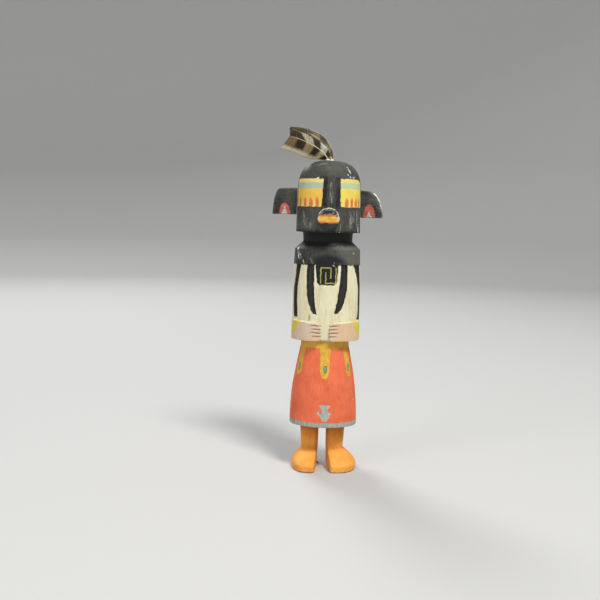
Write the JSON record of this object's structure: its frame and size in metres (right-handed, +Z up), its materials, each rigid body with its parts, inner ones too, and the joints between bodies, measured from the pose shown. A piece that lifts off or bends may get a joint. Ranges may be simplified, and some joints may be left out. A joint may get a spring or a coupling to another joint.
{
  "type": "kachina doll",
  "caption": "Standing carved and painted wooden figure with a domed mask, ears, a round snout, folded arms, a flared skirt, boots and barred feathers in its crown.",
  "frame": {"origin": "on the floor that the boots stand on, under the middle of the bounding box", "axes": "+Z up from the soles to the feathers, the doll faces -Y, and +X is the doll's own left"},
  "size_m": [0.0878, 0.0584, 0.2713],
  "materials": {
    "body_paint": "carved wood under matt hand-brushed paint",
    "ear_paint": "matt black paint on wood, rubbed pale along the edges",
    "snout_paint": "matt black paint with a yellow and orange band",
    "barred_feather": "soft barbs, barred dark brown, tan and white"
  },
  "bodies": {
    "root": {"body": "body_paint", "ear_right": "ear_paint", "ear_left": "ear_paint", "snout": "snout_paint", "feather_front": "barred_feather", "feather_back": "barred_feather"}
  },
  "joints": []
}
